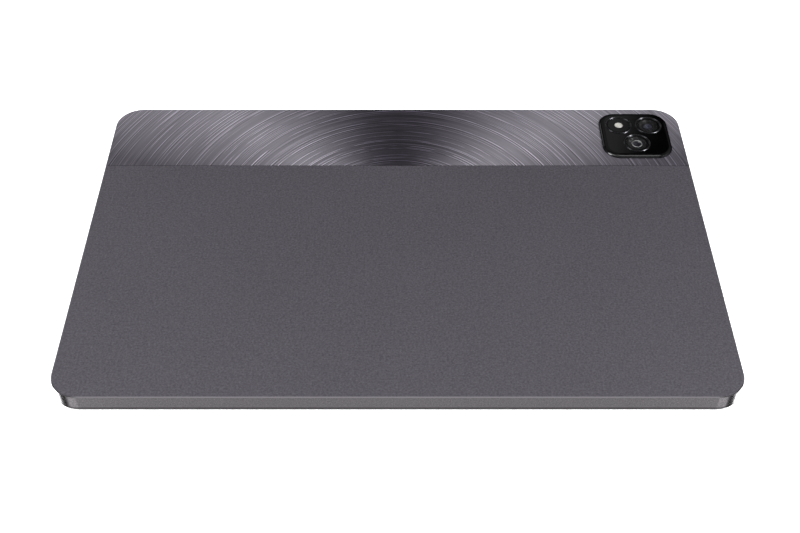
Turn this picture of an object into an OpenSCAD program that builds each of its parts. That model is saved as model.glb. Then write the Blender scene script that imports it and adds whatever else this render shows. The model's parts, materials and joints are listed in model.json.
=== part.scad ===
// Tablet computer, lying on its screen. X runs along the long side, +Y is the camera end,
// +Z points out of the back. The origin is the centre of the cover glass's outer face.

/* [Body] */
// Length of the long side
body_w = 257.04; // [256:0.02:258]
// Length of the short side
body_l = 168.62; // [168:0.02:170]
// Thickness from the cover glass to the flat back
body_t = 7.58; // [7.5:0.02:7.9]
// Radius of the corners, seen from the back
corner_r = 11.2; // [10.5:0.1:12]
// Thickness of the side walls
wall_t = 2.4; // [2.2:0.1:2.6]
// Thickness of the back
back_t = 0.8; // [0.6:0.05:0.9]
// Width of the bright chamfer around the back
edge_chamfer = 0.35; // [0.2:0.05:0.5]

/* [Strip across the back] */
// Width of the decorative strip along the camera end
strip_w = 40; // [39.5:0.1:40.5]
// Thickness of the strip
strip_t = 0.8; // [0.7:0.05:0.9]
// Gap of the seam between the strip and the metal back
seam_gap = 0.2; // [0.05:0.01:0.25]

/* [Camera island] */
// Side of the square camera island
island_w = 30.8; // [30.4:0.1:31]
// Radius of its corners
island_r = 7.6; // [7.2:0.1:8]
// Height of its rim above the strip
island_h = 1.2; // [1.1:0.05:1.4]
// Distance from its side to the tablet's short side
island_side_gap = 5.9; // [5.8:0.1:6.1]
// Distance from its far edge to the tablet's long side
island_end_gap = 4.3; // [4.2:0.1:4.5]
// Distance from the island's middle to the upper lenses, along X
lens_dx = 6.7; // [6.6:0.1:6.9]
// Distance from the island's middle to each lens, along Y
lens_dy = 6.2; // [6.1:0.1:6.3]
// Outer radius of the three rings
ring_r = 6; // [5.8:0.05:6.1]
// Radius of the flash's light window
flash_r = 2; // [1.6:0.1:2.4]

/* [Screen] */
// Thickness of the cover glass
glass_t = 0.6; // [0.5:0.05:0.75]
// Distance from the tablet's outline to the cover glass
glass_inset = 1.1; // [1:0.05:1.3]
// Length of the lit picture area
picture_w = 236.9; // [236:0.1:238]
// Height of the lit picture area
picture_l = 148.1; // [147:0.1:149]

/* [Ports and buttons] */
// Height of the ports and buttons above the cover glass
port_z = 4.2; // [4.1:0.05:4.3]
// Length of the power button
power_len = 12; // [10:0.5:13]
// Length of the volume rocker
volume_len = 22; // [20:0.5:24]
// Thickness of both buttons, along Z
button_h = 2.3; // [2:0.1:2.4]
// How far the buttons stand proud of the side
button_proud = 0.35; // [0.2:0.05:0.5]
// Travel of the power button
power_travel = 0.3; // [0.2:0.05:0.3]
// Sound holes in front of each speaker
sound_holes = 10; // [6:1:10]
// Radius of a sound hole
sound_r = 0.55; // [0.4:0.05:0.6]

/* [Battery and boards] */
// Length of each battery cell
cell_w = 86.5; // [80:0.5:87]
// Width of each battery cell
cell_l = 72; // [66:1:73]
// Thickness of each battery cell
cell_t = 3.5; // [3:0.1:3.6]
// Thickness of the circuit boards
board_t = 0.8; // [0.6:0.1:0.8]

/* [Hidden] */
$fn = 64;

// Half sizes of the outline and of the space inside the walls
half_w = body_w / 2;
half_l = body_l / 2;
in_x = half_w - wall_t;
in_y = half_l - wall_t;
in_r = corner_r - wall_t;

// Levels along Z, from the screen to the back
tape_t = 0.1;
rim_z = glass_t + tape_t;            // the walls' lower end, where the screen is taped on
inner_back_z = body_t - back_t;      // inner face of the back
shelf_top_z = body_t - strip_t - tape_t; // the shelf that the strip is taped to
shelf_z = shelf_top_z - back_t;      // inner face of the shelf
seam_y = half_l - strip_w;           // the strip's inner edge
lcd_z = glass_t + tape_t;
films_z = lcd_z + 0.7;
guide_z = films_z + 0.25;
reflector_z = guide_z + 0.45;
tray_z = reflector_z + 0.05;
screen_back_z = tray_z + 0.25;       // everything behind the screen starts here
board_z = 5.2;                       // the boards' component side, facing the screen
board_top_z = board_z + board_t;
can_z = 3.9;                         // outer face of the shielding cans
chip_z = 4.2;
plug_z = 4.4;                        // outer face of the flat connectors
loose = 0.05;                        // clearance of pieces that drop into each other

// The camera island and its lenses
island_x = half_w - island_side_gap - island_w / 2;
island_y = half_l - island_end_gap - island_w / 2;
main_at = [island_x + lens_dx, island_y + lens_dy];
second_at = [island_x, island_y - lens_dy];
flash_at = [island_x - lens_dx, island_y + lens_dy];
island_top_z = body_t + island_h;
island_edge = 1.95;                  // width of the frame's rounded edge
island_rim = island_edge + 0.1;
island_glass_t = 0.55;
island_glass_z = island_top_z + 0.05 - island_glass_t;
island_face_z = island_glass_z + island_glass_t;
neck_w = island_w - 1.4;
deck_z = body_t + 0.05;              // underside of the island's deck
sleeve_r = ring_r - 0.65;            // the part of a ring that passes through the island glass
window_r = sleeve_r - 0.48;
window_z = island_face_z - 0.38;
window_t = 0.45;

// Screws and their posts, [x, y]
board_right = in_x - 15.12;
board_left = board_right - 37;
board_screws = [[board_left + 3, -59], [board_right - 3, -59], [board_left + 3, 39.3],
    [board_right - 2.2, 39.3], [board_left + 21.2, -47.5]];
usb_screws = [[-in_x + 5, -13], [-in_x + 15.5, -13], [-in_x + 5, 17.5], [-in_x + 18.5, 30]];
screw_posts = concat(board_screws, usb_screws);
post_r = 1.8;
tap_r = 0.55;

// The card slot in the +X wall
tray_w = 18.6;
tray_h = 2.2;
slot_gap = 0.1;
reader_x0 = in_x - 29.1;
reader_x1 = in_x - 3.1;
reader_half = 9.5;
rod_y = 7.9;
lever_at = [reader_x0 + 2.2, 2.7];
lever_arm = 5.6;
lever_w = 1.2;

// The socket in the -X wall
socket_w = 8.94;
socket_h = 3.16;
socket_wall = 0.3;
socket_len = 7.3;
socket_x = -half_w + 0.22;

speaker_len = 22;
mesh_t = 0.15;
speaker_depth = 13;
speaker_z0 = 2.8;
speaker_z1 = 5.7;
speaker_y = 37;
sound_pitch = 1.9;
power_y = 60;
volume_x = 70;
mic_r = 0.5;
top_mic_x = -30;
side_mic_y = 14;
front_camera_y = 79.3;

battery_x0 = -in_x + 22.1;
battery_y0 = -64;
cell_gap = 1;
cell_z0 = inner_back_z - 0.18 - cell_t;

// ---- shapes ----

// A rectangle with round corners, centred
module rounded(w, l, r) {
    square([w - 2 * r, l], center = true);
    square([w, l - 2 * r], center = true);
    for (sx = [-1, 1], sy = [-1, 1])
        translate([sx * (w / 2 - r), sy * (l / 2 - r)]) circle(r);
}

module rounded_plate(w, l, r, z0, z1) {
    translate([0, 0, z0]) linear_extrude(z1 - z0) rounded(w, l, r);
}

// A box from its two opposite corners
module block(x0, x1, y0, y1, z0, z1) {
    translate([x0, y0, z0]) cube([x1 - x0, y1 - y0, z1 - z0]);
}

// A rounded slab whose rim follows profile: a list of [inset from the outline, z], going up
module edged_slab(w, l, r, profile) {
    n = len(profile) - 1;
    function across(half) = concat(
        [for (p = profile) [half - p[0], p[1]]],
        [for (i = [n:-1:0]) [-half + profile[i][0], profile[i][1]]]);
    rotate([90, 0, 90]) linear_extrude(w - 2 * r, center = true) polygon(across(l / 2));
    rotate([90, 0, 0]) linear_extrude(l - 2 * r, center = true) polygon(across(w / 2));
    for (k = [0:3])
        translate([(k == 0 || k == 3 ? 1 : -1) * (w / 2 - r), (k < 2 ? 1 : -1) * (l / 2 - r), 0])
            rotate([0, 0, 90 * k]) rotate_extrude(angle = 90)
                polygon(concat([[0, profile[0][1]]],
                    [for (p = profile) [r - p[0], p[1]]], [[0, profile[n][1]]]));
}

// The outline of a slot with round ends
module stadium(len, h) {
    square([len - h, h], center = true);
    for (s = [-1, 1]) translate([s * (len - h) / 2, 0]) circle(h / 2);
}

// The same slot pushed through along X or along Y
module slot_x(len, h, x0, x1, y, z) {
    translate([x0, y, z]) rotate([90, 0, 90]) linear_extrude(x1 - x0) stadium(len, h);
}

module slot_y(len, h, y0, y1, x, z) {
    translate([x, y1, z]) rotate([90, 0, 0]) linear_extrude(y1 - y0) stadium(len, h);
}

module pin(r, x, y, z0, z1) {
    translate([x, y, z0]) cylinder(r = r, h = z1 - z0);
}

// ---- casing ----

outer_rim = [[0.12, rim_z], [0, rim_z + 0.12], [0, body_t - edge_chamfer], [edge_chamfer, body_t]];

module outer_body() {
    edged_slab(body_w, body_l, corner_r, outer_rim);
}

module sound_hole_row(side, y) {
    for (i = [0:sound_holes - 1])
        translate([side * (in_x - 1), y + (i - (sound_holes - 1) / 2) * sound_pitch, port_z])
            rotate([0, side * 90, 0]) cylinder(r = sound_r, h = wall_t + 2);
}

// Windows in the shelf, over the aerials: [x0, x1]
aerial_windows = [[-108, -46], [-34, 34], [46, 86]];

module rear_housing() color([0.33, 0.32, 0.35]) difference() {
    union() {
        difference() {
            outer_body();
            block(-body_w, body_w, seam_y, body_l, shelf_top_z, body_t + 1);
            rounded_plate(2 * in_x, 2 * in_y, in_r, 0, shelf_z);
            intersection() {
                rounded_plate(2 * in_x, 2 * in_y, in_r, shelf_z - 0.5, inner_back_z);
                block(-body_w, body_w, -body_l, seam_y - 1, 0, body_t);
            }
        }
        for (p = screw_posts) pin(post_r, p[0], p[1], board_top_z, inner_back_z + 0.1);
        battery_fence();
    }
    for (p = screw_posts) pin(tap_r, p[0], p[1], board_top_z - 1, inner_back_z + 0.2);
    for (w = aerial_windows) block(w[0], w[1], 58, 76, shelf_z - 1, shelf_top_z + 1);
    translate([island_x, island_y, 0])
        rounded_plate(island_w - 5.4, island_w - 5.4, 4, shelf_z - 1, shelf_top_z + 1);
    for (side = [-1, 1], y = [-1, 1]) sound_hole_row(side, y * speaker_y);
    slot_x(power_len + 0.2, button_h + 0.2, in_x - 1, half_w + 1, power_y, port_z);
    slot_y(volume_len + 0.3, button_h + 0.2, in_y - 1, half_l + 1, volume_x, port_z);
    slot_x(tray_w + 2 * slot_gap, tray_h + 2 * slot_gap, in_x - 1, half_w + 1, 0, port_z);
    slot_x(socket_w + 0.16, socket_h + 0.16, -half_w - 1, -in_x + 1, 0, port_z);
    translate([top_mic_x, in_y - 1, port_z]) rotate([-90, 0, 0]) cylinder(r = mic_r, h = wall_t + 2);
    translate([-half_w - 1, side_mic_y, port_z]) rotate([0, 90, 0]) cylinder(r = mic_r, h = wall_t + 2);
}

// Low ribs on the back that keep the cells in place
module battery_fence() {
    x1 = battery_x0 + 2 * cell_w + cell_gap;
    y1 = battery_y0 + cell_l;
    difference() {
        block(battery_x0 - 1.1, x1 + 1.1, battery_y0 - 1.1, y1 + 1.1, inner_back_z - 0.6, inner_back_z + 0.1);
        block(battery_x0 - 0.3, x1 + 0.3, battery_y0 - 0.3, y1 + 0.3, inner_back_z - 1, inner_back_z + 0.2);
    }
}

module top_strip() color([0.45, 0.44, 0.47]) difference() {
    intersection() {
        outer_body();
        block(-body_w, body_w, seam_y + seam_gap, body_l, body_t - strip_t, body_t + 1);
    }
    translate([island_x, island_y, 0])
        rounded_plate(neck_w + 0.2, neck_w + 0.2, island_r - 0.6, body_t - strip_t - 1, body_t + 1);
}

module strip_tape() color([0.12, 0.12, 0.12]) difference() {
    intersection() {
        rounded_plate(body_w - 2.4, body_l - 2.4, corner_r - 1.2, shelf_top_z, shelf_top_z + tape_t);
        block(-body_w, body_w, seam_y + 1.2, body_l, 0, body_t);
    }
    for (w = aerial_windows) block(w[0], w[1], 58, 76, 0, body_t);
    translate([island_x, island_y, 0])
        rounded_plate(neck_w + 0.6, neck_w + 0.6, island_r - 0.6, 0, body_t + 1);
}

module screw(x, y) {
    difference() {
        pin(1.25, x, y, board_z - 0.45, board_z);
        pin(0.45, x, y, board_z - 0.5, board_z - 0.25);
    }
    pin(tap_r - 0.02, x, y, board_z - 0.1, inner_back_z + 0.1);
}

module screws() color([0.6, 0.6, 0.62]) for (p = screw_posts) screw(p[0], p[1]);

// ---- camera island ----

module camera_frame() color([0.06, 0.06, 0.07]) translate([island_x, island_y, 0]) difference() {
    union() {
        rounded_plate(neck_w, neck_w, island_r - 0.7, shelf_top_z, body_t + 0.1);
        edged_slab(island_w, island_w, island_r, concat([[0.1, body_t + 0.02], [0, body_t + 0.12]],
            [for (a = [0:15:90]) [island_edge * (1 - cos(a)), body_t + 0.3 + (island_h - 0.3) * sin(a)]]));
    }
    rounded_plate(neck_w - 3.4, neck_w - 3.4, 4.5, shelf_top_z - 1, deck_z);
    rounded_plate(island_w - 2 * island_rim, island_w - 2 * island_rim, island_r - island_rim,
        island_glass_z, island_top_z + 1);
    for (p = [main_at, second_at, flash_at])
        pin(sleeve_r + loose, p[0] - island_x, p[1] - island_y, body_t - 1, island_top_z + 1);
}

module camera_glass() color([0.02, 0.02, 0.025]) difference() {
    translate([island_x, island_y, 0])
        rounded_plate(island_w - 2 * island_rim - 0.1, island_w - 2 * island_rim - 0.1,
            island_r - island_rim - 0.05, island_glass_z, island_face_z);
    for (p = [main_at, second_at, flash_at])
        pin(sleeve_r + loose, p[0], p[1], body_t, island_top_z + 1);
}

// A ring: a sleeve through the island with a bevelled flange on the island's face
module lens_ring(at) color([0.1, 0.1, 0.11]) translate(at) rotate_extrude() {
    z = island_face_z;
    polygon([[window_r - 0.27, z - 0.93], [sleeve_r, z - 0.93], [sleeve_r, z], [ring_r, z],
        [ring_r, z + 0.14], [ring_r - 0.18, z + 0.32], [ring_r - 0.72, z + 0.32],
        [window_r + 0.08, z + 0.1], [window_r + 0.03, z + 0.07], [window_r + 0.03, window_z],
        [window_r - 0.27, window_z]]);
}

module flash_ring() lens_ring(flash_at);
module main_ring() lens_ring(main_at);
module second_ring() lens_ring(second_at);

module lens_window(at) color([0.03, 0.03, 0.04]) pin(window_r, at[0], at[1], window_z, window_z + window_t);

module main_lens_window() lens_window(main_at);
module second_lens_window() lens_window(second_at);

module flash_window() color([0.03, 0.03, 0.03]) difference() {
    pin(window_r, flash_at[0], flash_at[1], window_z, window_z + window_t);
    pin(flash_r + 0.03, flash_at[0], flash_at[1], window_z - 1, window_z + 1);
}

// The frosted plug that spreads the flash's light
module flash_diffuser() color([0.9, 0.89, 0.83]) translate(flash_at) rotate_extrude()
    polygon([[0, window_z - 0.4], [flash_r + 0.6, window_z - 0.4], [flash_r + 0.6, window_z],
        [flash_r, window_z], [flash_r, window_z + window_t], [flash_r - 0.15, window_z + window_t + 0.06],
        [0, window_z + window_t + 0.1]]);

// The flash's light source on its board, under the island's deck
module flash_board() color([0.1, 0.3, 0.2]) translate([flash_at[0], flash_at[1], 0]) {
    rounded_plate(11, 11, 3, deck_z - 0.4, deck_z);
    translate([-1, -1, deck_z - 0.1]) cube([2, 2, 0.4]);
}

// Black stepped funnel behind a lens window
module lens_shade(at, throat_r) color([0.03, 0.03, 0.03]) translate(at) rotate_extrude() {
    z = window_z - 0.6;
    r = window_r - 0.32;
    polygon([[throat_r, z], [r, z], [r, window_z], [r - 0.4, window_z], [r - 0.7, z + 0.4],
        [r - 1.2, z + 0.4], [r - 1.5, z + 0.2], [throat_r + 0.2, z + 0.2]]);
}

module main_lens_shade() lens_shade(main_at, 2.4);
module second_lens_shade() lens_shade(second_at, 2.0);

sensor_z = screen_back_z + 0.25;
camera_can_z = sensor_z + 0.3;
camera_can_top = window_z - 1.13;

// The square motor housing round the main lens
module camera_can(at, w, bore_r) {
    translate([at[0], at[1], 0]) difference() {
        rounded_plate(w, w, 0.6, camera_can_z, camera_can_top);
        translate([0, 0, camera_can_z + 0.5]) cylinder(r = bore_r, h = 9);
        rounded_plate(w - 1, w - 1, 0.3, camera_can_z - 1, camera_can_z + 0.6);
    }
}

module main_camera_can() color([0.2, 0.2, 0.21]) camera_can(main_at, 8.5, 3.3);
module second_camera_can() color([0.2, 0.2, 0.21]) camera_can(second_at, 7.4, 2.75);

// A stepped lens barrel with its front opening, from z0 up
module lens_barrel(at, body_r, nose_r, z0) translate(at) rotate_extrude() {
    z1 = window_z - 0.6;
    polygon([[0, z0], [body_r, z0], [body_r, z1 - 0.75], [nose_r, z1 - 0.75], [nose_r, z1],
        [nose_r - 0.5, z1], [nose_r - 0.9, z1 - 0.25], [0, z1 - 0.25]]);
}

// The main lens moves up and down to focus; the second is fixed by a flange under its can
module main_lens_barrel() color([0.05, 0.05, 0.06]) lens_barrel(main_at, 3.1, 2.2, camera_can_z + 0.95);
module second_lens_barrel() color([0.05, 0.05, 0.06]) {
    lens_barrel(second_at, 2.7, 1.9, camera_can_z + 0.42);
    pin(3.1, second_at[0], second_at[1], camera_can_z + 0.42, camera_can_z + 0.6);
}

module sensor_board(at, w) {
    translate([at[0], at[1], 0]) rounded_plate(w, w, 0.6, sensor_z, camera_can_z);
    translate([at[0] - 2.6, at[1] - 2, camera_can_z]) cube([5.2, 4, 0.4]);
}

// Both image sensors, each with a flat cable down to its plug on the main board
module camera_sensors() color([0.55, 0.35, 0.15]) {
    main_foot = island_y - 15.2;
    sensor_board(main_at, 8.5);
    sensor_board(second_at, 7.4);
    translate([0, 0, sensor_z]) linear_extrude(0.15) {
        polygon([[main_at[0] - 2.6, main_at[1] - 4], [main_at[0] + 0.8, main_at[1] - 4],
            [main_at[0] + 0.8, main_foot], [104, main_foot], [104, 40], [101, 40],
            [101, main_foot + 3.2], [main_at[0] - 2.6, main_foot + 3.2]]);
        polygon([[second_at[0] - 3.6, second_at[1] + 1.6], [second_at[0] - 3.6, second_at[1] - 1.6],
            [99.6, second_at[1] - 1.6], [99.6, 40], [96.6, 40], [96.6, second_at[1] + 1.6]]);
    }
    for (x = [96.6, 101]) block(x, x + 3, 38, 41, sensor_z, plug_z);
}

// ---- screen ----

module front_glass() color([0.02, 0.02, 0.03])
    edged_slab(body_w - 2 * glass_inset, body_l - 2 * glass_inset, corner_r - glass_inset,
        [[0.22, 0], [0.07, 0.06], [0, 0.2], [0, glass_t]]);

module screen_trim() color([0.04, 0.04, 0.045]) difference() {
    edged_slab(body_w - 0.16, body_l - 0.16, corner_r - 0.08,
        [[0.3, 0.12], [0.08, 0.2], [0, 0.34], [0, rim_z]]);
    rounded_plate(body_w - 2 * glass_inset + 2 * loose, body_l - 2 * glass_inset + 2 * loose,
        corner_r - glass_inset + loose, -1, rim_z + 1);
}

module screen_tape() color([0.1, 0.1, 0.1]) difference() {
    rounded_plate(body_w - 2 * glass_inset - 0.4, body_l - 2 * glass_inset - 0.4,
        corner_r - glass_inset - 0.2, glass_t, rim_z);
    rounded_plate(2 * in_x + 0.2, 2 * in_y + 0.2, in_r + 0.1, 0, body_t);
}

module optical_adhesive() color([0.8, 0.82, 0.85, 0.4])
    rounded_plate(picture_w + 3, picture_l + 3, 1, glass_t, lcd_z);

module lcd_panel() color([0.05, 0.06, 0.08])
    block(-picture_w / 2 - 2.2, picture_w / 2 + 2.2, -picture_l / 2 - 5.5, picture_l / 2 + 1.8, lcd_z, films_z);

// The films in front of the light guide and the white reflector behind it
module optical_films() color([0.93, 0.93, 0.92]) {
    block(-picture_w / 2 - 1.4, picture_w / 2 + 1.4, -picture_l / 2 - 1.1, picture_l / 2 + 1.1, films_z, guide_z);
    block(-picture_w / 2 - 1.4, picture_w / 2 + 1.4, -picture_l / 2 - 1.1, picture_l / 2 + 1.1, reflector_z, tray_z);
}

module light_guide() color([0.85, 0.9, 0.93, 0.5])
    block(-picture_w / 2 - 1.2, picture_w / 2 + 1.2, -picture_l / 2 - 0.9, picture_l / 2 + 1, guide_z, reflector_z);

module backlight_tray() color([0.7, 0.71, 0.72]) difference() {
    block(-picture_w / 2 - 2.2, picture_w / 2 + 2.2, -picture_l / 2 - 4.6, picture_l / 2 + 1.8, films_z, screen_back_z);
    block(-picture_w / 2 - 1.6, picture_w / 2 + 1.6, -picture_l / 2 - 4, picture_l / 2 + 1.3, films_z - 1, tray_z);
}

// A row of light sources along the screen's lower edge
module backlight_leds() color([0.95, 0.93, 0.75]) {
    leds = 36;
    pitch = picture_w / leds;
    y = -picture_l / 2 - 3.9;
    block(-picture_w / 2, picture_w / 2, y, y + 2.7, tray_z - 0.1, tray_z);
    for (i = [0:leds - 1])
        translate([(i - (leds - 1) / 2) * pitch - 1.5, y + 1.4, guide_z]) cube([3, 1.3, tray_z - 0.1 - guide_z]);
}

// The screen's driver board behind its lower edge, and its flat cable to the main board
module display_flex() color([0.6, 0.38, 0.12]) {
    z = screen_back_z + 0.05;
    block(-45, 45, -76, -67, z, z + 0.35);
    translate([0, 0, z]) linear_extrude(0.15)
        polygon([[45, -74], [88, -74], [88, -51], [80, -51], [80, -67], [45, -67]]);
    block(80, 88, -56, -51.5, z, plug_z);
}

module front_camera() color([0.1, 0.1, 0.11]) difference() {
    union() {
        block(-2.7, 2.7, front_camera_y - 2.3, front_camera_y + 2.3, 1.6, 4.6);
        pin(1.9, 0, front_camera_y, glass_t, 1.7);
    }
    pin(1.1, 0, front_camera_y, 0, glass_t + 0.5);
}

module light_sensor() color([0.15, 0.15, 0.15]) {
    block(11, 13.4, front_camera_y - 1, front_camera_y + 1, glass_t, 1.6);
    block(2.75, 16, front_camera_y - 1.6, front_camera_y + 1.6, 1.6, 1.75);
}

// ---- battery ----

// A pouch cell: a flat slab with soft corners and a folded seam along one end
module battery_cell(i) color([0.16, 0.17, 0.19]) {
    x0 = battery_x0 + i * (cell_w + cell_gap);
    translate([x0 + cell_w / 2, battery_y0 + (cell_l - 2) / 2, 0])
        rounded_plate(cell_w, cell_l - 2, 2, cell_z0, cell_z0 + cell_t);
    block(x0 + 3, x0 + cell_w - 3, battery_y0 + cell_l - 2, battery_y0 + cell_l, cell_z0 + 0.9, cell_z0 + 1.3);
}

module battery_left() battery_cell(0);
module battery_right() battery_cell(1);

module battery_board() color([0.1, 0.25, 0.15]) {
    y = battery_y0 + cell_l + 0.3;
    x1 = battery_x0 + 2 * cell_w + cell_gap;
    block(battery_x0 + 40, x1 - 6, y, y + 4, plug_z, plug_z + 0.8);
    block(x1 - 12, board_left + 2.8, y, y + 4, plug_z - 0.2, plug_z);
}

module battery_tapes() color([0.85, 0.85, 0.8])
    for (i = [0, 1], k = [0, 1])
        block(battery_x0 + i * (cell_w + cell_gap) + 12 + 42 * k, battery_x0 + i * (cell_w + cell_gap) + 30 + 42 * k,
            battery_y0 + 4, battery_y0 + cell_l - 8, cell_z0 + cell_t, inner_back_z);

// ---- main board ----

module main_board() color([0.05, 0.25, 0.18]) difference() {
    union() {
        block(board_left, board_right, -62, 42, board_z, board_top_z);
        block(board_right - 1, in_x - 2.1, -11, 11, board_z, board_top_z);
    }
    for (p = board_screws) pin(0.8, p[0], p[1], 0, body_t);
}

// Each chip: [x, y, width, length]
chip_list = [[85.5, 24, 14, 14], [85.5, 7, 11, 12], [85.5, -14, 11.5, 13], [85.5, -33, 9, 9],
    [102.8, -27, 7, 8], [102.8, -38, 5, 5], [102.8, 26, 6.5, 6.5]];

module chips() color([0.08, 0.08, 0.09])
    for (c = chip_list)
        translate([c[0] - c[2] / 2, c[1] - c[3] / 2, chip_z]) cube([c[2], c[3], board_z - chip_z]);

module thermal_pads() color([0.55, 0.62, 0.75])
    for (c = chip_list)
        translate([c[0] - c[2] / 2 + 0.5, c[1] - c[3] / 2 + 0.5, can_z + 0.2])
            cube([c[2] - 1, c[3] - 1, chip_z - can_z - 0.2]);

// Each shielding can: [x0, x1, y0, y1]
can_list = [[76.9, 96, -1, 34], [76.9, 96, -42, -3], [97.5, 108.5, -43, -14], [97.5, 108.5, 14, 35]];

module shield_cans() color([0.72, 0.72, 0.7])
    for (c = can_list) difference() {
        block(c[0], c[1], c[2], c[3], can_z, board_z);
        block(c[0] + 0.2, c[1] - 0.2, c[2] + 0.2, c[3] - 0.2, can_z + 0.2, board_z + 1);
    }

// Flat board-to-board connectors
module connectors() color([0.1, 0.1, 0.1]) {
    block(board_left + 0.1, board_left + 2.8, 5, 14, plug_z, board_z);
    block(80.2, 91, 36, 41, plug_z, board_z);
    block(80.2, 88, -56, -51.5, plug_z, board_z);
    for (x = [96.6, 101]) block(x, x + 3, 38, 41, plug_z, board_z);
    block(-in_x + 15.5, -in_x + 21, 36, 41, plug_z, board_z);
}

// ---- left side: socket, its board and the cable across ----

module usb_board() color([0.05, 0.25, 0.18]) difference() {
    union() {
        block(-in_x + 2.1, -in_x + 18, -16, 20.5, board_z, board_top_z);
        block(-in_x + 14.8, -in_x + 21.5, 20, 42, board_z, board_top_z);
    }
    block(-in_x, socket_x + socket_len + 0.3, -4.8, 4.8, 0, body_t);
    for (p = usb_screws) pin(0.8, p[0], p[1], 0, body_t);
}

// The metal shell of the charging and data socket, closed at its inner end, with two solder legs
module usb_shell() color([0.75, 0.75, 0.74]) difference() {
    union() {
        slot_x(socket_w, socket_h, socket_x, socket_x + socket_len, 0, port_z);
        for (s = [-1, 1])
            block(socket_x + socket_len - 2.6, socket_x + socket_len - 1,
                s < 0 ? -6.4 : 3, s < 0 ? -3 : 6.4, board_z - 0.3, board_z);
    }
    slot_x(socket_w - 2 * socket_wall, socket_h - 2 * socket_wall,
        socket_x - 1, socket_x + socket_len - 0.3, 0, port_z);
}

module usb_tongue() color([0.05, 0.05, 0.05]) {
    back_x = socket_x + socket_len - 0.3;
    slot_x(socket_w - 2 * socket_wall - 0.06, socket_h - 2 * socket_wall - 0.06, back_x - 1.4, back_x, 0, port_z);
    block(socket_x + 0.6, back_x - 1, -3.35, 3.35, port_z - 0.35, port_z + 0.35);
}

module interconnect_flex() color([0.6, 0.38, 0.12])
    block(-in_x + 15.5, 91, 36, 41, plug_z - 0.12, plug_z);

// ---- sound ----

// A speaker for the +X side; its sound leaves through a slot towards the wall
module speaker(side, y) translate([0, y, 0]) mirror([side < 0 ? 1 : 0, 0, 0])
    color([0.12, 0.12, 0.13]) translate([in_x - mesh_t - speaker_depth, 0, 0]) {
        difference() {
            block(0, speaker_depth, -speaker_len / 2, speaker_len / 2, speaker_z0, speaker_z1);
            translate([speaker_depth / 2 - 0.6, 0, speaker_z0 - 1]) rotate([0, 0, 90])
                linear_extrude(1.5) stadium(18.6, 9.6);
            block(speaker_depth - 2.4, speaker_depth + 1, -8.6, 8.6, port_z - 0.6, port_z + 0.6);
        }
        translate([speaker_depth / 2 - 0.6, 0, speaker_z0 + 0.2]) rotate([0, 0, 90])
            linear_extrude(0.35) stadium(15.6, 6.6);
    }

module speaker_upper_right() speaker(1, speaker_y);
module speaker_lower_right() speaker(1, -speaker_y);
module speaker_upper_left() speaker(-1, speaker_y);
module speaker_lower_left() speaker(-1, -speaker_y);

module speaker_meshes() color([0.25, 0.25, 0.26])
    for (side = [-1, 1], y = [-1, 1])
        slot_x(19.8, 2.2, side > 0 ? in_x - mesh_t : -in_x, side > 0 ? in_x : -in_x + mesh_t, y * speaker_y, port_z);

module microphones() color([0.75, 0.7, 0.55]) {
    block(top_mic_x - 2, top_mic_x + 2, in_y - 1.1, in_y, port_z - 1.4, port_z + 0.9);
    block(-in_x, -in_x + 1.1, side_mic_y - 2, side_mic_y + 2, port_z - 1.4, port_z + 0.9);
}

// ---- buttons ----

power_back_x = in_x - 0.87;          // back of the power button's flange
volume_back_y = in_y - 0.51;
rocker_rib_r = 0.45;
rocker_rib_y = volume_back_y - 0.95; // the axis that the rocker tilts about
arc_r = in_r - 1.97;                 // the flat cable's bend round the corner

// The switch cable along the inside of the +Y wall, round the corner and down the +X wall
module button_flex() color([0.6, 0.38, 0.12]) {
    z0 = port_z - 0.6;
    z1 = port_z + 0.6;
    y = in_y - in_r;
    x = in_x - in_r;
    block(volume_x - 13, x, y + arc_r - 0.15, y + arc_r, z0, z1);
    translate([x, y, z0]) rotate_extrude(angle = 90) translate([arc_r - 0.15, 0]) square([0.15, z1 - z0]);
    block(x + arc_r - 0.15, x + arc_r, island_y - 14.6, y, z0, z1);
    block(100, x + arc_r, island_y - 14.75, island_y - 14.6, z0, z1);
    // brackets behind the switches, fixed under the shelf
    block(volume_x - 11, volume_x + 11, y + arc_r - 0.45, y + arc_r - 0.15, z0, shelf_z);
    block(x + arc_r - 0.45, x + arc_r - 0.15, power_y - 6, power_y + 6, z0, shelf_z);
    for (s = [-1, 1])
        translate([volume_x + s * 8, y + arc_r, port_z]) rotate([-90, 0, 0])
            cylinder(r1 = 1.6, r2 = 0.9, h = volume_back_y - 0.82 - y - arc_r);
    translate([x + arc_r, power_y, port_z]) rotate([0, 90, 0])
        cylinder(r1 = 1.6, r2 = 0.9, h = power_back_x - 0.64 - x - arc_r);
}

module power_button() color([0.36, 0.35, 0.38]) {
    slot_x(power_len, button_h, power_back_x + 0.4, half_w + button_proud, power_y, port_z);
    slot_x(power_len + 1.6, button_h + 0.6, power_back_x, power_back_x + 0.8, power_y, port_z);
    translate([power_back_x - 0.3, power_y, port_z]) rotate([0, 90, 0]) cylinder(r = 0.8, h = 0.5);
}

module volume_rocker() color([0.36, 0.35, 0.38]) {
    slot_y(volume_len, button_h, volume_back_y, half_l + button_proud, volume_x, port_z);
    slot_y(10, button_h + 0.6, volume_back_y - 0.4, volume_back_y + 0.35, volume_x, port_z);
    // the rounded rib that it rocks on
    block(volume_x - rocker_rib_r, volume_x + rocker_rib_r, rocker_rib_y, volume_back_y - 0.35,
        port_z - 0.55, port_z + 0.55);
    translate([volume_x, rocker_rib_y, port_z - 0.55]) cylinder(r = rocker_rib_r, h = 1.1);
    for (s = [-1, 1])
        translate([volume_x + s * 8, volume_back_y - 0.5, port_z]) rotate([-90, 0, 0]) cylinder(r = 0.8, h = 0.7);
}

// ---- card tray, its reader and the ejector ----

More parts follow.
